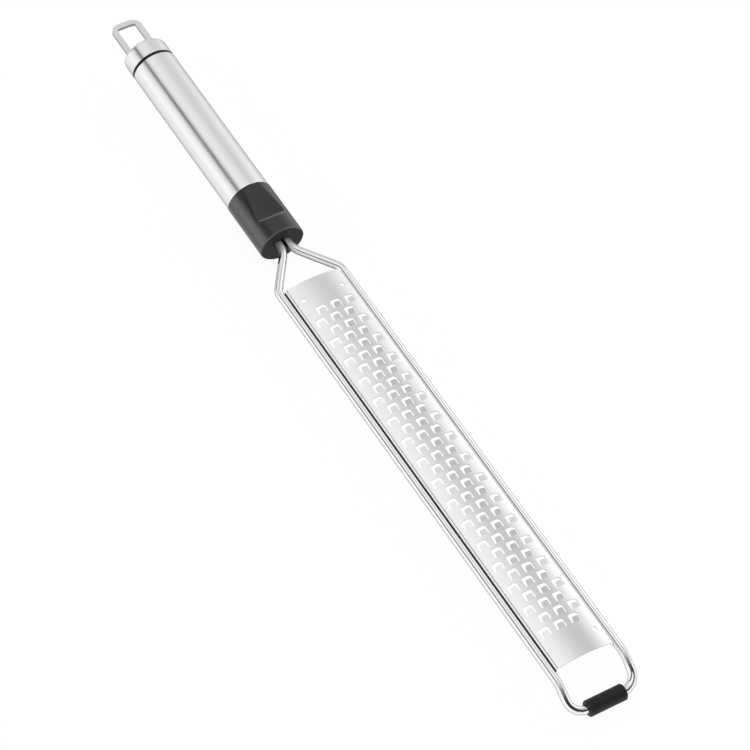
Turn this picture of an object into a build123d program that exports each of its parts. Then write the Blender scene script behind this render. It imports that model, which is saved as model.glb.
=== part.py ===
from build123d import *
import math
import os

# Rasp zester: an oval steel handle with a hanging loop, and a long etched blade
# carried by one bent wire with a rubber sleeve on its foot. +X runs from the
# loop to the foot, +Z is the cutting side, and z = 0 is the table that the
# handle and the sleeve rest on. Millimetres.

# Lengths along the tool, from the hanging loop to the foot
loop_reach = 20.4
cap_length = 9.4
ring_width = 1.4
tube_length = 87.8
collar_length = 29.5
neck_reach = 26.1
blade_length = 220.0
foot_reach = 17.3

# Handle: every cross-section is one flattened oval of four arcs, drawn in evenly.
# The collar is the widest piece, and the steel steps in from it
handle_width = 22.1
height_share = 0.9
tip_share = 0.75
steel_step = 0.15
tube_wall = 0.8
tube_rim_chamfer = 0.2

# End cap, its black ring and the plug that carries them
cap_wall = 0.8
cap_round = 2.2
ring_recess = 0.15
ring_thickness = 1.4
plug_depth = 18.0
plug_bore_wall = 3.0

# Hanging loop: a flat steel strip with two legs in the plug
loop_width = 15.0
loop_strip = 2.8
loop_thickness = 1.5
loop_corner = 4.8
loop_eye_corner = 1.3
loop_leg_depth = 12.0
leg_notch_radius = 0.7
leg_notch_inset = 3.5

# Front collar with its thumb rest
collar_edge_chamfer = 0.45
spigot_length = 12.0
front_wall = 4.0
slot_clearance = 0.35
rest_rear_depth = 0.45
rest_front_depth = 2.4
rest_ledge_inset = 9.3
rest_ledge_run = 1.5
rest_foot_round = 1.3

# Two-part clamp that holds the wire ends inside the handle
clamp_width_share = 0.65
clamp_height_share = 0.43
clamp_block_length = 15.0
clamp_peg_share = 0.33
clamp_peg_length = 2.4
clamp_peg_spread = 18.0
clamp_peg_clearance = 0.1

# Wire frame: one bent rod
wire_diameter = 3.8
tang_gap = 0.15
hook_wall = 2.1
hook_bend = 3.2
hook_inset = 5.0
hook_clearance = 0.1
neck_in_reach = 4.6
neck_out_inset = 2.4
neck_in_bend = 14.0
neck_out_bend = 7.5
foot_drop_reach = 12.5
foot_bend = 8.0
foot_corner = 7.0

# Rubber sleeve
sleeve_diameter = 7.3
sleeve_length = 18.0
sleeve_chamfer = 0.45

# Blade sheet
blade_width = 28.2
blade_rise = 5.4
blade_wire_drop = 4.5
blade_thickness = 0.5
blade_crown_radius = 48.8
shoulder_bend = 1.5
flange_lap = 1.0
corner_hole_diameter = 2.3
corner_hole_inset = 8.8
corner_hole_spread = 20.1

# Teeth: windows etched through the sheet, each with a raised tongue
tooth_columns = 6
tooth_margin = 17.0
row_pitch = 6.0
column_pitch = 3.62
window_length = 4.4
window_width = 4.8
window_corner = 0.8
tongue_width = 3.0
tongue_length = 2.4
tongue_lift = 0.55
tongue_edge = 0.12
tongue_corner = 0.45
root_inset = 0.04
root_embed = 0.3

# Cuts run this far past the faces that they open
overrun = 1.0

# Places that follow from the sizes above
total_length = (
    loop_reach + cap_length + ring_width + tube_length + collar_length
    + neck_reach + blade_length + foot_reach + sleeve_diameter / 2
)
x_loop_rear = -total_length / 2
x_cap_rear = x_loop_rear + loop_reach
x_ring_rear = x_cap_rear + cap_length
x_tube_rear = x_ring_rear + ring_width
x_joint = x_tube_rear + tube_length
x_collar_face = x_joint + collar_length
x_blade_head = x_collar_face + neck_reach
x_blade_foot = x_blade_head + blade_length
x_blade_middle = (x_blade_head + x_blade_foot) / 2
x_crossbar = x_blade_foot + foot_reach
x_spigot_rear = x_joint - spigot_length
x_clamp_rear = x_spigot_rear - clamp_block_length
x_hook = x_clamp_rear + hook_inset
x_pocket_front = x_collar_face - front_wall

handle_height = handle_width * height_share
tip_radius = tip_share * handle_width / 2
tip_offset = handle_width / 2 - tip_radius
flat_radius = (tip_offset**2 + (handle_height / 2) ** 2 - tip_radius**2) / (
    handle_height - 2 * tip_radius
)
flat_offset = flat_radius - handle_height / 2

z_handle = handle_height / 2
z_crown = z_handle + blade_rise
z_wire = z_crown - blade_wire_drop
z_crossbar = sleeve_diameter / 2

tube_bore = steel_step + tube_wall
wire_radius = wire_diameter / 2
y_tang = wire_radius + tang_gap / 2
y_hook_end = handle_width / 2 - tube_bore - hook_wall
y_leg = blade_width / 2 + wire_radius

clamp_width = clamp_width_share * handle_width
clamp_height = clamp_height_share * handle_height
y_groove_side = y_tang + wire_radius
peg_radius = clamp_peg_share * (clamp_width / 2 - y_groove_side)


def section_plane(x):
    """Cross-section of the handle at x: local x is the tool's +Y, local y its +Z."""
    return Plane(origin=(x, 0, z_handle), x_dir=(0, 1, 0), z_dir=(1, 0, 0))


def wire_plane(x):
    """The same cross-section, centred on the level of the wires."""
    return Plane(origin=(x, 0, z_wire), x_dir=(0, 1, 0), z_dir=(1, 0, 0))


def oval_bar(x_start, x_end, inset=0, mode=Mode.ADD):
    """Straight bar of the handle's oval between two stations, drawn in by an inset.

    The oval is a lens, cut out of two wide circles, with rounded tips.
    """
    with BuildSketch(section_plane(x_start)) as oval:
        with Locations((0, -flat_offset)):
            Circle(flat_radius - inset)
        with Locations((0, flat_offset)):
            Circle(flat_radius - inset, mode=Mode.INTERSECT)
        fillet(oval.vertices(), tip_radius - inset)
    extrude(oval.sketch, amount=x_end - x_start, mode=mode)


# Handle tube: thin steel, open at both ends
with BuildPart() as handle_tube:
    oval_bar(x_tube_rear, x_joint, steel_step)
    rims = handle_tube.faces().filter_by(Plane.YZ).edges()
    chamfer(rims, tube_rim_chamfer)
    oval_bar(x_tube_rear, x_joint, tube_bore, Mode.SUBTRACT)
handle_tube.part.label = "handle_tube"

# Wire frame: hooked ends, side by side tangs, spread neck, straight legs beside
# the blade, then a drop to the crossbar that closes the frame at the foot
half_route = [
    (x_hook, y_hook_end, z_wire),
    (x_hook, y_tang, z_wire),
    (x_collar_face + neck_in_reach, y_tang, z_wire),
    (x_blade_head - neck_out_inset, y_leg, z_wire),
    (x_crossbar - foot_drop_reach, y_leg, z_wire),
    (x_crossbar, y_leg, z_crossbar),
]
half_bends = [hook_bend, neck_in_bend, neck_out_bend, foot_bend, foot_corner]
other_half = [(x, -y, z) for x, y, z in reversed(half_route)]
with BuildPart() as wire_frame:
    with BuildLine() as wire_route:
        FilletPolyline(*half_route, *other_half, radius=half_bends + half_bends[::-1])
    with BuildSketch(Plane(origin=wire_route.line @ 0, z_dir=wire_route.line % 0)):
        Circle(wire_radius)
    sweep(path=wire_route.line)
wire_frame.part.label = "wire_frame"

# Hanging loop: a U of flat strip, its legs notched so that the plug keys into them
x_leg_end = x_ring_rear + loop_leg_depth
loop_span = x_leg_end - x_loop_rear
eye_width = loop_width - 2 * loop_strip
with BuildPart() as hanging_loop:
    with BuildSketch(Plane.XY.offset(z_handle - loop_thickness / 2)) as loop_outline:
        with Locations((x_loop_rear, 0)):
            Rectangle(loop_span, loop_width, align=(Align.MIN, Align.CENTER))
        fillet(loop_outline.vertices().group_by(Axis.X)[0], loop_corner)
        with Locations((x_loop_rear + loop_strip, 0)):
            Rectangle(
                loop_span, eye_width, align=(Align.MIN, Align.CENTER), mode=Mode.SUBTRACT
            )
        fillet(loop_outline.vertices(Select.LAST).group_by(Axis.X)[0], loop_eye_corner)
        with Locations(
            (x_leg_end - leg_notch_inset, eye_width / 2),
            (x_leg_end - leg_notch_inset, -eye_width / 2),
        ):
            Circle(leg_notch_radius, mode=Mode.SUBTRACT)
    extrude(amount=loop_thickness)
hanging_loop.part.label = "hanging_loop"

# End plug: fills the tube's rear mouth, passes through the ring into the cap and
# grips the loop's legs. The hollow of the cap is made once, for the cap and the plug,
# and starts where the rounding of the cap's rear rim ends
x_plug_front = x_tube_rear + plug_depth
with BuildPart() as cap_hollow:
    oval_bar(x_cap_rear + cap_round, x_ring_rear, steel_step + cap_wall)
ring_outset = steel_step + ring_recess
neck_inset = ring_outset + ring_thickness
with BuildPart() as end_plug:
    add(cap_hollow.part)
    oval_bar(x_ring_rear, x_tube_rear, neck_inset)
    oval_bar(x_tube_rear, x_plug_front, tube_bore)
    add(hanging_loop.part, mode=Mode.SUBTRACT)
    # Weight-saving bore from the front, short of the loop's legs
    oval_bar(x_leg_end + plug_bore_wall, x_plug_front, tube_bore + plug_bore_wall, Mode.SUBTRACT)
end_plug.part.label = "end_plug"

# Cap ring: the black line between cap and tube, set in a little from both
with BuildPart() as cap_ring:
    oval_bar(x_ring_rear, x_tube_rear, ring_outset)
    oval_bar(x_ring_rear, x_tube_rear, neck_inset, Mode.SUBTRACT)
cap_ring.part.label = "cap_ring"

# End cap: drawn steel cup with two slots in its end wall for the loop's legs
with BuildPart() as end_cap:
    oval_bar(x_cap_rear, x_ring_rear, steel_step)
    fillet(end_cap.edges().group_by(Axis.X)[0], cap_round)
    add(cap_hollow.part, mode=Mode.SUBTRACT)
    add(hanging_loop.part, mode=Mode.SUBTRACT)
end_cap.part.label = "end_cap"

# Front collar: outer body with a scooped thumb rest, a spigot in the tube, a
# pocket for the clamp and a slot in the front wall for the two wires
z_top = 2 * z_handle
x_rest_foot = x_collar_face - rest_ledge_inset - rest_ledge_run
with BuildPart() as front_collar:
    oval_bar(x_joint, x_collar_face)
    chamfer(front_collar.edges().group_by(Axis.X)[-1], collar_edge_chamfer)
    # Thumb rest: a floor that sinks towards a ledge
    with BuildSketch(Plane.XZ) as rest_profile:
        with BuildLine():
            Polyline(
                (x_joint, z_top + overrun),
                (x_joint, z_top - rest_rear_depth),
                (x_rest_foot, z_top - rest_front_depth),
                (x_rest_foot + rest_ledge_run, z_top),
                (x_rest_foot + rest_ledge_run, z_top + overrun),
                close=True,
            )
        make_face()
        foot_point = rest_profile.vertices().sort_by(Axis.Y)[0]
        fillet(foot_point, rest_foot_round)
    extrude(amount=handle_width, both=True, mode=Mode.SUBTRACT)
    oval_bar(x_spigot_rear, x_joint, tube_bore)
    with BuildSketch(wire_plane(x_spigot_rear)):
        Rectangle(clamp_width, clamp_height)
    extrude(amount=x_pocket_front - x_spigot_rear, mode=Mode.SUBTRACT)
    with BuildSketch(wire_plane(x_pocket_front)):
        SlotOverall(
            2 * (y_groove_side + slot_clearance), wire_diameter + 2 * slot_clearance
        )
    extrude(amount=front_wall + overrun, mode=Mode.SUBTRACT)
front_collar.part.label = "front_collar"

# Tang clamp: two halves that meet at the middle of the wires. A block fills the
# tube behind the spigot and traps the hooks, and a tongue fills the collar's pocket.
# Each wire lies in a groove, and both hooks lie in one recess
hook_recess_depth = wire_radius + hook_clearance
with BuildPart() as clamp_blank:
    oval_bar(x_clamp_rear, x_spigot_rear, tube_bore)
    with BuildSketch(wire_plane(x_spigot_rear)):
        Rectangle(clamp_width, clamp_height)
    extrude(amount=x_pocket_front - x_spigot_rear)
    with BuildSketch(wire_plane(x_hook)):
        with Locations((-y_tang, 0), (y_tang, 0)):
            Circle(wire_radius)
    extrude(amount=x_pocket_front - x_hook, mode=Mode.SUBTRACT)
    with Locations((x_hook - hook_recess_depth, 0, z_wire)):
        Box(
            hook_recess_depth + hook_bend,
            2 * (y_hook_end + hook_clearance),
            2 * hook_recess_depth,
            align=(Align.MIN, Align.CENTER, Align.CENTER),
            mode=Mode.SUBTRACT,
        )

x_pegs = (x_spigot_rear + x_pocket_front) / 2
y_peg = (y_groove_side + clamp_width / 2) / 2
peg_plane = Plane(origin=(x_pegs, 0, z_wire))
with BuildPart() as tang_clamp_lower:
    add(clamp_blank.part)
    split(bisect_by=Plane.XY.offset(z_wire), keep=Keep.BOTTOM)
    with BuildSketch(peg_plane):
        with GridLocations(clamp_peg_spread, 2 * y_peg, 2, 2):
            Circle(peg_radius)
    extrude(amount=clamp_peg_length)
tang_clamp_lower.part.label = "tang_clamp_lower"

with BuildPart() as tang_clamp_upper:
    add(clamp_blank.part)
    split(bisect_by=Plane.XY.offset(z_wire), keep=Keep.TOP)
    with BuildSketch(peg_plane):
        with GridLocations(clamp_peg_spread, 2 * y_peg, 2, 2):
            Circle(peg_radius + clamp_peg_clearance)
    extrude(amount=clamp_peg_length + clamp_peg_clearance, mode=Mode.SUBTRACT)
tang_clamp_upper.part.label = "tang_clamp_upper"

# Foot sleeve: rubber tube on the straight middle of the crossbar
with BuildPart() as foot_sleeve:
    with BuildSketch(Plane(origin=(x_crossbar, 0, z_crossbar), z_dir=(0, 1, 0))):
        Circle(sleeve_diameter / 2)
    extrude(amount=sleeve_length / 2, both=True)
    chamfer(foot_sleeve.edges().filter_by(GeomType.CIRCLE), sleeve_chamfer)
    add(wire_frame.part, mode=Mode.SUBTRACT)
foot_sleeve.part.label = "foot_sleeve"

# One tooth, in its own frame: x = 0 and z = 0 are the middle of the window on the
# sheet's outer face, and +X points to the foot. The tongue is a wedge that stays
# joined to the sheet at its root and lifts its thin edge towards the handle
with BuildPart() as tooth_window:
    with BuildSketch(Plane.XY.offset(-blade_thickness - overrun)) as window_outline:
        Rectangle(window_length, window_width)
        chamfer(window_outline.vertices().group_by(Axis.X)[0], window_corner)
    extrude(amount=blade_thickness + 2 * overrun)

x_root = window_length / 2
x_edge = x_root - tongue_length
with BuildPart() as tooth_tongue:
    with BuildSketch(Plane.XY.offset(-blade_thickness)) as tongue_outline:
        with Locations((x_edge, 0)):
            Rectangle(
                tongue_length + root_embed, tongue_width, align=(Align.MIN, Align.CENTER)
            )
        chamfer(tongue_outline.vertices().group_by(Axis.X)[0], tongue_corner)
    extrude(amount=blade_thickness + tongue_lift)
    with BuildSketch(Plane.XZ):
        with BuildLine():
            Polyline(
                (x_root + root_embed, root_inset - blade_thickness),
                (x_root + root_embed, -root_inset),
                (x_root, -root_inset),
                (x_edge, tongue_lift),
                (x_edge, tongue_lift - tongue_edge),
                (x_root, root_inset - blade_thickness),
                close=True,
            )
        make_face()
    extrude(amount=tongue_width, both=True, mode=Mode.INTERSECT)


def on_crown(x, arc):
    """Plane on the blade's outer face, at x and at an arc length from the middle."""
    angle = arc / blade_crown_radius
    return Plane(
        origin=(
            x,
            blade_crown_radius * math.sin(angle),
            z_crown - blade_crown_radius * (1 - math.cos(angle)),
        ),
        x_dir=(1, 0, 0),
        z_dir=(0, math.sin(angle), math.cos(angle)),
    )


# Staggered teeth: odd and even columns take turns from row to row, and as many rows
# as fit between the bare ends of the sheet are centred on it
tooth_rows = round((blade_length - 2 * tooth_margin) / row_pitch) + 1
tooth_places = []
for row in range(tooth_rows):
    for column in range(tooth_columns):
        if (row + column) % 2 == 1:
            tooth_x = x_blade_middle + (row - (tooth_rows - 1) / 2) * row_pitch
            tooth_arc = (column - (tooth_columns - 1) / 2) * column_pitch
            tooth_places.append(on_crown(tooth_x, tooth_arc))

corner_hole_places = [
    on_crown(x, side * corner_hole_spread / 2)
    for x in (x_blade_head + corner_hole_inset, x_blade_foot - corner_hole_inset)
    for side in (-1, 1)
]

# Blade: a shallow crown between two turned-down flanges that lie against the
# legs of the wire frame, with the teeth etched and raised out of the crown
half_blade = blade_width / 2
shoulder_sagitta = blade_crown_radius - math.sqrt(blade_crown_radius**2 - half_blade**2)
flange_drop = blade_wire_drop + flange_lap
crown_plane = Plane(origin=(x_blade_head, 0, z_crown), x_dir=(0, 1, 0), z_dir=(1, 0, 0))
with BuildPart() as blade:
    with BuildSketch(crown_plane):
        with BuildLine() as outer_face:
            crown = ThreePointArc(
                (-half_blade, -shoulder_sagitta), (0, 0), (half_blade, -shoulder_sagitta)
            )
            Line(crown @ 0, (-half_blade, -flange_drop))
            Line(crown @ 1, (half_blade, -flange_drop))
            fillet(outer_face.vertices().group_by(Axis.Y)[-1], shoulder_bend)
            offset(amount=blade_thickness, side=Side.RIGHT)
        make_face()
    extrude(amount=blade_length)
    with Locations(*tooth_places):
        add(tooth_window.part, mode=Mode.SUBTRACT)
    with Locations(*tooth_places):
        add(tooth_tongue.part)
    with Locations(*corner_hole_places):
        Hole(corner_hole_diameter / 2, depth=blade_thickness + overrun)
blade.part.label = "blade"

os.makedirs("parts", exist_ok=True)
pieces = [
    hanging_loop, end_cap, cap_ring, end_plug, handle_tube, front_collar,
    tang_clamp_upper, tang_clamp_lower, wire_frame, blade, foot_sleeve,
]
for piece in pieces:
    export_step(piece.part, f"parts/{piece.part.label}.step")
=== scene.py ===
import math

import bpy
from mathutils import Euler, Matrix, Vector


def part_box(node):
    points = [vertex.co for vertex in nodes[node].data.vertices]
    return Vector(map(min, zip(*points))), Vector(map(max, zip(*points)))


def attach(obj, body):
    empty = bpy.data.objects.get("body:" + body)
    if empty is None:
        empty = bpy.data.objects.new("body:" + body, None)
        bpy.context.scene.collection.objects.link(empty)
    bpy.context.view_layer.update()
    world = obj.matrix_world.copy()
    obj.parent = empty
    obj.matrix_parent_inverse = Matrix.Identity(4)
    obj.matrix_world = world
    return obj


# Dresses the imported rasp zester: a camera at the photographed angle, a pale
# studio, and a node material for each surface. Metres, +X to the foot, +Z up.

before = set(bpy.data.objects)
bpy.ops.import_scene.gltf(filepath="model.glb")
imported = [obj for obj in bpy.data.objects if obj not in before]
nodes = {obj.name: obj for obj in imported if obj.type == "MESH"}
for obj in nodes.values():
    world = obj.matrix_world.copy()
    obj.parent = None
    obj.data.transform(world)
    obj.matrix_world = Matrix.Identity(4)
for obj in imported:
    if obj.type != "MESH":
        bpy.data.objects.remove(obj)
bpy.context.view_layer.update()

# Places that the finishes, the painted light and shade, and the sheet's disc follow, read
# from the frame
tube_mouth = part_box("handle_tube")[1][0]
collar_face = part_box("front_collar")[1][0]
collar_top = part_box("front_collar")[1][2]
wire_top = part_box("wire_frame")[1][2]
blade_low, blade_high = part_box("blade")
blade_head, near_flange, flange_bottom = blade_low
blade_foot, far_flange = blade_high[:2]

# Camera, fitted to the photograph. Its turns about X, Y and Z are in degrees, and its
# lens and sensor in millimetres
SENSOR_WIDTH = 36.0
LENS = 158.07
CAMERA_PLACE = (0.70835, -0.52938, 1.13799)
CAMERA_TURNS = (37.2219, -5.0047, 58.9465)
NEAREST_SEEN = 0.01
FARTHEST_SEEN = 50.0

camera_data = bpy.data.cameras.new("camera")
camera_data.sensor_width = SENSOR_WIDTH
camera_data.lens = LENS
camera_data.clip_start = NEAREST_SEEN
camera_data.clip_end = FARTHEST_SEEN
camera = bpy.data.objects.new("camera", camera_data)
bpy.context.scene.collection.objects.link(camera)
turned = Euler([math.radians(turn) for turn in CAMERA_TURNS]).to_matrix()
camera.matrix_world = Matrix.Translation(CAMERA_PLACE) @ turned.to_4x4()
bpy.context.scene.camera = camera

# A Mix node's sockets for its two values and its result, by the kind of data
MIX_SOCKETS = {"RGBA": (6, 7, 2), "FLOAT": (2, 3, 0)}


class NodeTree:
    """Short calls for making and linking shader nodes."""

    def __init__(self, owner):
        owner.use_nodes = True
        self.tree = owner.node_tree
        self.tree.nodes.clear()

    def node(self, kind, inputs=None, **settings):
        """New node with these settings, whose inputs are linked or set."""
        made = self.tree.nodes.new(kind)
        for name, value in settings.items():
            setattr(made, name, value)
        for name, value in (inputs or {}).items():
            self.put(made, name, value)
        return made

    def put(self, node, name, value):
        """Links a socket to the node's input, or sets the input to a plain value."""
        socket = node.inputs[name]
        if isinstance(value, bpy.types.NodeSocket):
            self.tree.links.new(value, socket)
        else:
            socket.default_value = value

    def math(self, operation, a, b=0.0, c=0.0):
        """Result of one Math node."""
        made = self.node("ShaderNodeMath", {0: a, 1: b, 2: c}, operation=operation)
        return made.outputs[0]

    def fold(self, operation, first, *others):
        """One operation over all the values, from left to right."""
        for other in others:
            first = self.math(operation, first, other)
        return first

    def ramp(self, value, pair, low=0.0, high=1.0):
        """Smooth change from low to high as the value goes through the pair of limits."""
        start, end = pair
        made = self.node(
            "ShaderNodeMapRange",
            {"Value": value, "From Min": start, "From Max": end, "To Min": low, "To Max": high},
            interpolation_type="SMOOTHSTEP",
        )
        return made.outputs["Result"]

    def mix(self, factor, a, b, data_type="RGBA"):
        """a where the factor is 0 and b where it is 1: colours, or numbers with FLOAT."""
        socket_a, socket_b, result = MIX_SOCKETS[data_type]
        made = self.node("ShaderNodeMix", {"Factor": factor}, data_type=data_type)
        self.put(made, socket_a, a)
        self.put(made, socket_b, b)
        return made.outputs[result]

    def noise(self, place, scale, detail=2.0, roughness=0.5):
        """Noise from 0 to 1."""
        made = self.node(
            "ShaderNodeTexNoise",
            {"Vector": place, "Scale": scale, "Detail": detail, "Roughness": roughness},
        )
        return made.outputs["Fac"]

    def axes(self, vector):
        """X, Y and Z of a vector."""
        return self.node("ShaderNodeSeparateXYZ", {"Vector": vector}).outputs

    def surface(self, output):
        """X, Y and Z of the surface's Position or of its flat True Normal."""
        return self.axes(self.node("ShaderNodeNewGeometry").outputs[output])


def grey(value, warmth=0.0):
    """Neutral colour, warm where warmth is over 0 and cool where it is under 0."""
    return (value * (1 + warmth), value, value * (1 - warmth), 1.0)


def span(origin, start, end):
    """Two places, given as distances from origin."""
    return (origin + start, origin + end)


# Steel and plastic: the noise that makes a surface uneven, and how much it changes
COOL = -0.04
FINE = {"detail": 3.0, "roughness": 0.6}
NOISE_RANGE = (0.3, 0.7)
METAL_PATCH_SCALE = 60.0
METAL_GRAIN_SHARE = 0.6
METAL_TONE_SPREAD = 0.02
METAL_ROUGH_SPREAD = 0.15
METAL_BUMP = 0.25
PLASTIC_CLOUD_SCALE = 80.0
PLASTIC_ROUGH_SPREAD = 0.10
PLASTIC_BUMP = 0.35


def end_in_shader(tree, settings, height, bump_strength, bump_depth):
    """Ends a material's tree in a Principled shader over a bump of this height."""
    bump = tree.node(
        "ShaderNodeBump", {"Strength": bump_strength, "Distance": bump_depth, "Height": height}
    )
    shader = tree.node("ShaderNodeBsdfPrincipled", settings)
    tree.put(shader, "Normal", bump.outputs["Normal"])
    tree.node("ShaderNodeOutputMaterial", {"Surface": shader.outputs["BSDF"]})


def metal(name, tone, roughness, grain, grain_depth, warmth=0.0, edge=0.5, finish_and_painted_light=None):
    """Steel with a fine grain, whose scale along X, Y and Z is grain.

    edge is the tint of its reflections near grazing view, and the finish function changes
    the roughness in places and paints light and shade into the colour.
    """
    material = bpy.data.materials.new(name)
    tree = NodeTree(material)
    place = tree.node("ShaderNodeTexCoord").outputs["Object"]
    stretched = tree.node("ShaderNodeMapping", {"Vector": place, "Scale": grain})
    lines = tree.noise(stretched.outputs["Vector"], 1.0, **FINE)
    patches = tree.noise(place, METAL_PATCH_SCALE)
    uneven = tree.mix(METAL_GRAIN_SHARE, patches, lines, "FLOAT")
    darker = grey(tone - METAL_TONE_SPREAD, warmth)
    lighter = grey(tone + METAL_TONE_SPREAD, warmth)
    colour = tree.mix(uneven, darker, lighter)
    smoother = roughness * (1 - METAL_ROUGH_SPREAD)
    rougher = roughness * (1 + METAL_ROUGH_SPREAD)
    rough = tree.ramp(uneven, NOISE_RANGE, smoother, rougher)
    if finish_and_painted_light:
        colour, rough = finish_and_painted_light(tree, colour, rough)
    settings = {
        "Base Color": colour,
        "Metallic": 1.0,
        "Specular Tint": grey(edge),
        "Roughness": rough,
    }
    end_in_shader(tree, settings, lines, METAL_BUMP, grain_depth)
    return material


def plastic(name, painted_shade, light, roughness, grain, grain_depth, specular=0.5, finish_and_painted_light=None):
    """Moulded plastic or rubber of two close shades, with pebbles of scale grain.

    The finish function changes the roughness in places and paints light and shade into the
    colour.
    """
    material = bpy.data.materials.new(name)
    tree = NodeTree(material)
    place = tree.node("ShaderNodeTexCoord").outputs["Object"]
    pebbles = tree.noise(place, grain, **FINE)
    clouds = tree.noise(place, PLASTIC_CLOUD_SCALE)
    colour = tree.mix(clouds, grey(painted_shade, COOL), grey(light, COOL))
    smoother = roughness * (1 - PLASTIC_ROUGH_SPREAD)
    rougher = roughness * (1 + PLASTIC_ROUGH_SPREAD)
    rough = tree.ramp(pebbles, NOISE_RANGE, smoother, rougher)
    if finish_and_painted_light:
        colour, rough = finish_and_painted_light(tree, colour, rough)
    settings = {"Base Color": colour, "Roughness": rough, "Specular IOR Level": specular}
    end_in_shader(tree, settings, pebbles, PLASTIC_BUMP, grain_depth)
    return material


# In the finishes and the painted light and shade, a pair of limits says where a change
# starts and where it is full: places or distances in metres, or the X, Y or Z of the flat
# normal. Two darknesses are the ones at its start and where it is full

# Blade: how steep its walls are, how far out its windows reach, and where the near
# flange stands against its leg. Painted shade darkens the steep walls in the windows
# and the joint of the near flange and leg, where shade falls between them
WALL_STEEPNESS = (0.55, 0.35)
WINDOWS_REACH = span(far_flange, -0.0013, -0.0019)
WINDOW_SHADE = 0.45
JOINT_SIDE = span(near_flange, 0.0002, 0.0)
JOINT_HEIGHT = span(wire_top, -0.00035, -0.00075)
BLADE_SHADE_TONE = 0.10


def blade_painted_shade(tree, colour, rough):
    """Painted shade on the etched walls in the windows, and on the joint of the near flange and
    leg.
    """
    place = tree.surface("Position")
    normal = tree.surface("True Normal")
    steep = tree.ramp(tree.math("ABSOLUTE", normal["Z"]), WALL_STEEPNESS)
    side = tree.math("ABSOLUTE", place["Y"])
    window_shade = tree.ramp(side, WINDOWS_REACH, high=WINDOW_SHADE)
    beside_leg = tree.ramp(place["Y"], JOINT_SIDE)
    joint_shade = tree.math("MULTIPLY", beside_leg, tree.ramp(place["Z"], JOINT_HEIGHT))
    # Painted shade where the walls are steep, in the windows and at the joint
    painted_shade = tree.math("MULTIPLY", steep, tree.math("MAXIMUM", window_shade, joint_shade))
    return tree.mix(painted_shade, colour, grey(BLADE_SHADE_TONE)), rough


# Hanging loop: how steep its cut edges are, and how far they turn to the cap. Their
# darkening is partly their duller cut and partly painted shade, deepest towards the cap
CUT_STEEPNESS = (0.6, 0.3)
CUT_TOWARDS_CAP = (0.3, 0.8)
CUT_SHADE = (0.45, 0.80)
CUT_SHADE_TONE = 0.10


def loop_cut_shade(tree, colour, rough):
    """The strip's cut edges, darker than its faces, partly from their duller cut and partly as
    painted shade, most of all where they face the cap.
    """
    normal = tree.surface("True Normal")
    steep = tree.ramp(tree.math("ABSOLUTE", normal["Z"]), CUT_STEEPNESS)
    strength = tree.ramp(normal["X"], CUT_TOWARDS_CAP, *CUT_SHADE)
    # Painted shade, partly the cut edges' own duller tone, deepest where they face the cap
    return tree.mix(tree.math("MULTIPLY", steep, strength), colour, grey(CUT_SHADE_TONE)), rough


# Handle tube: how far its painted highlight, a bright rim, lies from its mouth, and the
# rim's soft half width
TUBE_RIM_INSET = 0.000325
TUBE_RIM_HALF = (0.0005, 0.0002)


def handle_rim_highlight(tree, colour, rough):
    """A painted highlight: a bright rim where the tube meets the collar."""
    place = tree.surface("Position")
    from_rim = tree.math("SUBTRACT", place["X"], tube_mouth - TUBE_RIM_INSET)
    tube_rim_highlight = tree.ramp(tree.math("ABSOLUTE", from_rim), TUBE_RIM_HALF)
    # Painted highlight on the rim
    return tree.mix(tube_rim_highlight, colour, grey(1.0)), rough


# Wire frame: the gap between its two ends, its neck, its ends near the collar's slot,
# and its first bends at the foot. Painted shade darkens the gap and the neck's underside
GAP_SIDE = (0.0012, 0.0004)
GAP_ALONG = span(collar_face, 0.0108, 0.0078)
GAP_SHADE_TONE = 0.05
NECK_ALONG = span(blade_head, -0.0003, -0.0033)
UNDERSIDE = (0.30, 0.0)
UNDERSIDE_SHADE = 0.75
UNDERSIDE_SHADE_TONE = 0.12
FAR_NECK = (0.0, 0.002)
NECK_FLANK = (0.80, 0.60)
NECK_EXTRA_ROUGH = 0.22
SLOT_ALONG = span(collar_face, 0.0093, 0.0033)
SLOT_EXTRA_ROUGH = 0.40
BEND_START = span(blade_foot, 0.0017, 0.0057)
BEND_END = span(blade_foot, 0.0132, 0.0072)
BEND_EXTRA_ROUGH = 0.28


def wire_roughness_and_shade(tree, colour, rough):
    """Rod that is duller near the collar, on its far neck and at the first foot bends.

    Painted shade darkens the gap where its two ends lie side by side, and the neck's underside.
    """
    place = tree.surface("Position")
    normal = tree.surface("True Normal")
    # Painted shade in the gap between the two ends
    between = tree.ramp(tree.math("ABSOLUTE", place["Y"]), GAP_SIDE)
    gap_shade = tree.math("MULTIPLY", between, tree.ramp(place["X"], GAP_ALONG))
    colour = tree.mix(gap_shade, colour, grey(GAP_SHADE_TONE))

    on_neck = tree.ramp(place["X"], NECK_ALONG)
    # Painted shade on the neck's underside
    underside_shade = tree.ramp(normal["Z"], UNDERSIDE, high=UNDERSIDE_SHADE)
    colour = tree.mix(tree.math("MULTIPLY", on_neck, underside_shade), colour, grey(UNDERSIDE_SHADE_TONE))

    flank_highlight = tree.ramp(normal["Z"], NECK_FLANK)
    far_flank = tree.fold("MULTIPLY", on_neck, flank_highlight, tree.ramp(place["Y"], FAR_NECK))
    rough = tree.math("MULTIPLY_ADD", far_flank, NECK_EXTRA_ROUGH, rough)
    near_slot = tree.ramp(place["X"], SLOT_ALONG, high=SLOT_EXTRA_ROUGH)
    into_bend = tree.ramp(place["X"], BEND_START, high=BEND_EXTRA_ROUGH)
    at_bend = tree.math("MULTIPLY", into_bend, tree.ramp(place["X"], BEND_END))
    return colour, tree.fold("ADD", near_slot, at_bend, rough)


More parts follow.
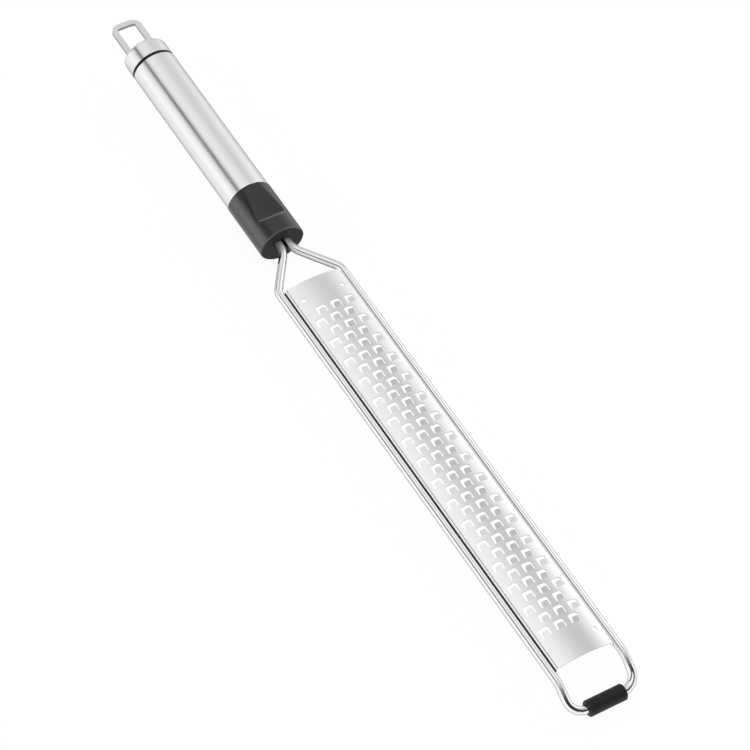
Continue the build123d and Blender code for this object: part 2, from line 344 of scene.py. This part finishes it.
# Front collar: its flanks, with a painted highlight, by how far they turn to a side. The
# paleness fades where they face straight to the side, and is less on the far one
FLANK_TURN = (0.60, 0.84)
FLANK_FADE = (0.88, 0.99)
FLANK_FADED = 0.3
FAR_FLANK_TURN = (-0.1, 0.1)
FAR_FLANK_SHARE = 0.35
FLANK_HIGHLIGHT_TONE = 0.135

# Its thumb rest, with the CAD model's sizes: the floor sinks evenly towards the foot,
# and the ledge at its end leans back as it goes down
REST_REAR_DEPTH = 0.00045
REST_FRONT_DEPTH = 0.0024
LEDGE_INSET = 0.0093
LEDGE_RUN = 0.0015
ledge_top = collar_face - LEDGE_INSET
rest_length = ledge_top - LEDGE_RUN - tube_mouth
rest_slope = (REST_FRONT_DEPTH - REST_REAR_DEPTH) / rest_length
REST_END = span(rest_length, 0.0009, 0.0001)

# The rest's floor, painted paler towards its near side, and the dark line of painted shade
# that follows its near border, by how far a place is below the floor's plane
PALE_FLOOR_DEPTH = (0.00008, 0.00002)
PALE_FLOOR_SIDE = (0.001, -0.006)
PALE_FLOOR_LIGHT_TONE = 0.030
SHADE_LINE_START = (0.00002, 0.00015)
SHADE_LINE_END = (0.0011, 0.0005)
SHADE_LINE_SIDE = (0.0, -0.001)
SHADE_LINE_TONE = 0.006

# The painted highlight on the ledge's lip, by how far a place is past the ledge and under the
# top
LIP_START = (-0.0002, 0.0)
LIP_END = (0.0011, 0.0006)
LIP_FOOT = span(REST_FRONT_DEPTH, 0.0, -0.0006)
LIP_HIGHLIGHT_TONE = 0.13

# Its front rim, with a painted highlight, its front face, with painted shade, and its duller
# far side, by how far they turn
RIM_FORWARD = (0.2, 0.5)
RIM_UP = (-0.1, 0.3)
RIM_HIGHLIGHT_TONE = 0.14
FACE_FORWARD = (0.85, 0.95)
FACE_SHADE_TONE = 0.008
FAR_SIDE_TURN = (0.60, 0.88)
DULL_EXTRA_ROUGH = 0.40


def collar_painted_light(tree, colour, rough):
    """Painted highlights on the flanks, ledge and rim, painted light and shade on the thumb
    rest, and painted shade on the front face, which is also matte.
    """
    place = tree.surface("Position")
    normal = tree.surface("True Normal")
    side = tree.math("ABSOLUTE", normal["Y"])
    # Painted highlight on the flanks
    flank_highlight = tree.fold(
        "MULTIPLY",
        tree.ramp(side, FLANK_TURN),
        tree.ramp(side, FLANK_FADE, 1.0, FLANK_FADED),
        tree.ramp(normal["Y"], FAR_FLANK_TURN, 1.0, FAR_FLANK_SHARE),
    )
    colour = tree.mix(flank_highlight, colour, grey(FLANK_HIGHLIGHT_TONE, COOL))

    along = tree.math("SUBTRACT", place["X"], tube_mouth)
    on_rest = tree.ramp(along, REST_END)
    rear_floor = collar_top - REST_REAR_DEPTH
    rest_floor = tree.math("MULTIPLY_ADD", along, -rest_slope, rear_floor)
    below_floor = tree.math("SUBTRACT", rest_floor, place["Z"])
    # Painted light: the rest's floor paler towards its near side
    painted_pale_floor = tree.fold(
        "MULTIPLY",
        tree.ramp(below_floor, PALE_FLOOR_DEPTH),
        tree.ramp(place["Y"], PALE_FLOOR_SIDE),
        on_rest,
    )
    colour = tree.mix(painted_pale_floor, colour, grey(PALE_FLOOR_LIGHT_TONE, COOL))
    # Painted shade along the rest's near border
    shade_line = tree.fold(
        "MULTIPLY",
        tree.ramp(below_floor, SHADE_LINE_START),
        tree.ramp(below_floor, SHADE_LINE_END),
        on_rest,
        tree.ramp(place["Y"], SHADE_LINE_SIDE),
    )
    colour = tree.mix(shade_line, colour, grey(SHADE_LINE_TONE, COOL))

    below_top = tree.math("SUBTRACT", collar_top, place["Z"])
    past_top = tree.math("SUBTRACT", place["X"], ledge_top)
    past_ledge = tree.math("MULTIPLY_ADD", below_top, LEDGE_RUN / REST_FRONT_DEPTH, past_top)
    # Painted highlight on the ledge's lip
    lip_highlight = tree.fold(
        "MULTIPLY",
        tree.ramp(past_ledge, LIP_END),
        tree.ramp(past_ledge, LIP_START),
        tree.ramp(below_top, LIP_FOOT),
    )
    colour = tree.mix(lip_highlight, colour, grey(LIP_HIGHLIGHT_TONE))

    # Painted highlight on the front rim
    forward_rim = tree.ramp(normal["X"], RIM_FORWARD)
    collar_rim_highlight = tree.math("MULTIPLY", forward_rim, tree.ramp(normal["Z"], RIM_UP))
    colour = tree.mix(collar_rim_highlight, colour, grey(RIM_HIGHLIGHT_TONE))
    # Painted shade on the front face
    face = tree.ramp(normal["X"], FACE_FORWARD)
    colour = tree.mix(face, colour, grey(FACE_SHADE_TONE))
    duller = tree.math("MAXIMUM", face, tree.ramp(normal["Y"], FAR_SIDE_TURN))
    return colour, tree.math("MULTIPLY_ADD", duller, DULL_EXTRA_ROUGH, rough)


# Scales of the steel's grain along X, Y and Z, whose lines go around or along the tool
AROUND = (3500.0, 160.0, 160.0)
ALONG = (60.0, 2600.0, 2600.0)

satin_steel = metal(
    "satin_steel",
    tone=0.86,
    roughness=0.22,
    grain=AROUND,
    grain_depth=0.00002,
    warmth=0.012,
    finish_and_painted_light=handle_rim_highlight,
)
loop_steel = metal(
    "loop_steel",
    tone=0.82,
    roughness=0.26,
    grain=ALONG,
    grain_depth=0.00001,
    warmth=0.012,
    finish_and_painted_light=loop_cut_shade,
)
wire_steel = metal(
    "wire_steel",
    tone=0.87,
    roughness=0.10,
    grain=ALONG,
    grain_depth=0.000005,
    warmth=0.006,
    edge=0.08,
    finish_and_painted_light=wire_roughness_and_shade,
)
blade_steel = metal(
    "blade_steel",
    tone=0.88,
    roughness=0.22,
    grain=ALONG,
    grain_depth=0.00001,
    edge=0.85,
    finish_and_painted_light=blade_painted_shade,
)
collar_plastic = plastic(
    "collar_plastic",
    painted_shade=0.018,
    light=0.023,
    roughness=0.34,
    grain=3000.0,
    grain_depth=0.00003,
    specular=0.55,
    finish_and_painted_light=collar_painted_light,
)
ring_plastic = plastic(
    "ring_plastic",
    painted_shade=0.004,
    light=0.008,
    roughness=0.50,
    grain=2000.0,
    grain_depth=0.00002,
    specular=0.3,
)
sleeve_rubber = plastic(
    "sleeve_rubber",
    painted_shade=0.006,
    light=0.010,
    roughness=0.55,
    grain=2500.0,
    grain_depth=0.00004,
    specular=0.35,
)
inner_plastic = plastic(
    "inner_plastic",
    painted_shade=0.030,
    light=0.040,
    roughness=0.50,
    grain=2000.0,
    grain_depth=0.00003,
)

MATERIALS = {
    "hanging_loop": loop_steel,
    "end_cap": satin_steel,
    "handle_tube": satin_steel,
    "cap_ring": ring_plastic,
    "end_plug": inner_plastic,
    "front_collar": collar_plastic,
    "tang_clamp_upper": inner_plastic,
    "tang_clamp_lower": inner_plastic,
    "wire_frame": wire_steel,
    "blade": blade_steel,
    "foot_sleeve": sleeve_rubber,
}
for name, material in MATERIALS.items():
    for slot in nodes[name].material_slots:
        slot.material = material

# The photographed sheet has no hole at its foot on the near side. A disc of sheet fills
# the CAD model's hole there, which is placed by its arc length from the crown's middle
CROWN_RADIUS = 0.0488
FLANGE_DEPTH = 0.0055
HOLE_INSET = 0.0088
HOLE_ARC = 0.01005
SHEET_THICKNESS = 0.0005
DISC_RADIUS = 0.00117
DISC_SIDES = 40

tilt = HOLE_ARC / CROWN_RADIUS
disc_place = (
    blade_foot - HOLE_INSET,
    -CROWN_RADIUS * math.sin(tilt),
    flange_bottom + FLANGE_DEPTH - CROWN_RADIUS * (1 - math.cos(tilt)),
)


def disc_rim(height):
    """Corners of the disc at this height."""
    turns = [2 * math.pi * k / DISC_SIDES for k in range(DISC_SIDES)]
    return [(DISC_RADIUS * math.cos(a), DISC_RADIUS * math.sin(a), height) for a in turns]


disc_walls = [
    (k, (k + 1) % DISC_SIDES, DISC_SIDES + (k + 1) % DISC_SIDES, DISC_SIDES + k)
    for k in range(DISC_SIDES)
]
disc_top = tuple(range(DISC_SIDES, 2 * DISC_SIDES))
disc_bottom = tuple(reversed(range(DISC_SIDES)))
disc_mesh = bpy.data.meshes.new("sheet_disc")
disc_mesh.from_pydata(
    disc_rim(-SHEET_THICKNESS) + disc_rim(0.0), [], disc_walls + [disc_top, disc_bottom]
)
disc_mesh.materials.append(blade_steel)
disc = bpy.data.objects.new("sheet_disc", disc_mesh)
disc.matrix_world = Matrix.Translation(disc_place) @ Matrix.Rotation(tilt, 4, "X")
bpy.context.scene.collection.objects.link(disc)
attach(disc, "root")

# Floor: it lights the object as a pale floor does, but the camera, reflections and glass
# show it nearly white, with the object's faint shadow
FLOOR_HALF = 3.0
FLOOR_DROP = 0.0002
FLOOR_TONE = 0.8
FLOOR_SHADE = 0.10
FLOOR_GLOW = 0.94

floor_mesh = bpy.data.meshes.new("floor")
floor_mesh.from_pydata(
    [(x * FLOOR_HALF, y * FLOOR_HALF, 0.0) for x, y in ((-1, -1), (1, -1), (1, 1), (-1, 1))],
    [],
    [(0, 1, 2, 3)],
)
floor = bpy.data.objects.new("floor", floor_mesh)
floor.location.z = -FLOOR_DROP
bpy.context.scene.collection.objects.link(floor)

floor_material = bpy.data.materials.new("floor")
floor_tree = NodeTree(floor_material)
path = floor_tree.node("ShaderNodeLightPath").outputs
seen = floor_tree.fold(
    "MAXIMUM", path["Is Camera Ray"], path["Is Glossy Ray"], path["Is Transmission Ray"]
)
plain = floor_tree.node("ShaderNodeBsdfDiffuse", {"Color": grey(FLOOR_TONE)})
shaded = floor_tree.node("ShaderNodeBsdfDiffuse", {"Color": grey(FLOOR_SHADE)})
glow = floor_tree.node("ShaderNodeEmission", {"Color": grey(1.0), "Strength": FLOOR_GLOW})
white = floor_tree.node("ShaderNodeAddShader", {0: shaded.outputs[0], 1: glow.outputs[0]})
choice = floor_tree.node(
    "ShaderNodeMixShader", {"Fac": seen, 1: plain.outputs[0], 2: white.outputs[0]}
)
floor_tree.node("ShaderNodeOutputMaterial", {"Surface": choice.outputs[0]})
floor_mesh.materials.append(floor_material)

# The world is a plain studio, set by the angle around the tool's length, in degrees: 0 is
# straight up and 90 is the +Y horizon. Each stop has an angle and a level. A wide soft
# light stands on the near side, and a thin dark gap parts it from the ceiling
STUDIO = [
    (-180, 0.75), (-90, 1.16), (-76, 1.04), (-60, 0.92), (-50, 0.86), (-44, 0.14), (-36, 0.14),
    (-32, 0.92), (-10, 0.88), (20, 0.81), (45, 0.71), (62, 0.65), (80, 0.89), (180, 0.8),
]
# The handle reflects the part of the room behind the loop. The rest, which the blade
# reflects, has these levels times the ones below: there the gap is wider, a darker band
# runs overhead, and a bright card stands on the far side
BLADE_SIDE = [
    (-180, 1.1), (-58, 1.15), (-53, 0.45), (-27, 0.45), (-22, 1.2), (-12, 1.22), (4, 1.16),
    (22, 0.82), (36, 0.785), (46, 1.4), (56, 2.0), (70, 1.8), (90, 1.5), (110, 1.1), (180, 1.1),
]
BLADE_SIDE_BORDER = (-0.56, -0.49)
# A colour ramp holds values up to 1, so a level is kept in it as a share of this one
HIGHEST_LEVEL = 2.0

# Dark parts of the room, each with soft limits on the direction's axes: one beyond the
# foot, with a greyer wall on the far side, one low behind the loop, on the near side,
# and the far side, which is a little dimmer than the rest except behind the loop
FRONT = [("X", (0.36, 0.48)), ("Z", (0.92, 0.84)), ("Y", (-0.66, -0.52)), ("Z", (0.26, 0.36))]
FRONT_FAR_WALL = (0.44, 0.60)
FRONT_DARKNESS = (0.96, 0.50)
BACK = [("X", (-0.80, -0.88)), ("Z", (0.40, 0.25)), ("Y", (-0.10, -0.25))]
BACK_DARKNESS = 0.75
FAR_SIDE = [("X", (-0.36, -0.26)), ("Y", (0.05, 0.25))]
FAR_SIDE_DARKNESS = 0.14


def by_angle(tree, turn, stops):
    """Level at an angle, given in radians, between stops of angles in degrees and levels."""
    share = tree.math("MULTIPLY_ADD", turn, 0.5 / math.pi, 0.5)
    made = tree.node("ShaderNodeValToRGB", {"Fac": share})
    elements = made.color_ramp.elements
    while len(elements) < len(stops):
        elements.new(1.0)
    for element, (angle, level) in zip(elements, stops):
        element.position = angle / 360 + 0.5
        element.color = grey(level / HIGHEST_LEVEL)
    return tree.math("MULTIPLY", made.outputs["Color"], HIGHEST_LEVEL)


def within(tree, axes, limits):
    """1 inside all the limits and 0 outside any of them, with soft borders."""
    return tree.fold("MULTIPLY", *[tree.ramp(axes[axis], border) for axis, border in limits])


def studio_level(tree):
    """The studio's light from each direction."""
    axes = tree.axes(tree.node("ShaderNodeTexCoord").outputs["Generated"])
    turn = tree.math("ARCTAN2", axes["Y"], axes["Z"])
    full_change = tree.math("SUBTRACT", by_angle(tree, turn, BLADE_SIDE), 1.0)
    on_blade_side = tree.ramp(axes["X"], BLADE_SIDE_BORDER)
    change = tree.math("MULTIPLY_ADD", full_change, on_blade_side, 1.0)
    far_wall = tree.ramp(axes["Y"], FRONT_FAR_WALL, *FRONT_DARKNESS)
    front = tree.math("MULTIPLY", within(tree, axes, FRONT), far_wall)
    back = tree.math("MULTIPLY", within(tree, axes, BACK), BACK_DARKNESS)
    far_side = tree.math("MULTIPLY", within(tree, axes, FAR_SIDE), FAR_SIDE_DARKNESS)
    lit = tree.math("SUBTRACT", 1.0, tree.fold("MAXIMUM", front, back, far_side))
    return tree.fold("MULTIPLY", by_angle(tree, turn, STUDIO), change, lit)


world = bpy.data.worlds.new("studio")
bpy.context.scene.world = world
world_tree = NodeTree(world)
seen_by_camera = world_tree.node("ShaderNodeLightPath").outputs["Is Camera Ray"]
level = world_tree.mix(seen_by_camera, studio_level(world_tree), 1.0, "FLOAT")
sky = world_tree.node("ShaderNodeBackground", {"Color": grey(1.0), "Strength": level})
world_tree.node("ShaderNodeOutputWorld", {"Surface": sky.outputs[0]})

scene = bpy.context.scene
scene.view_settings.view_transform = "Standard"
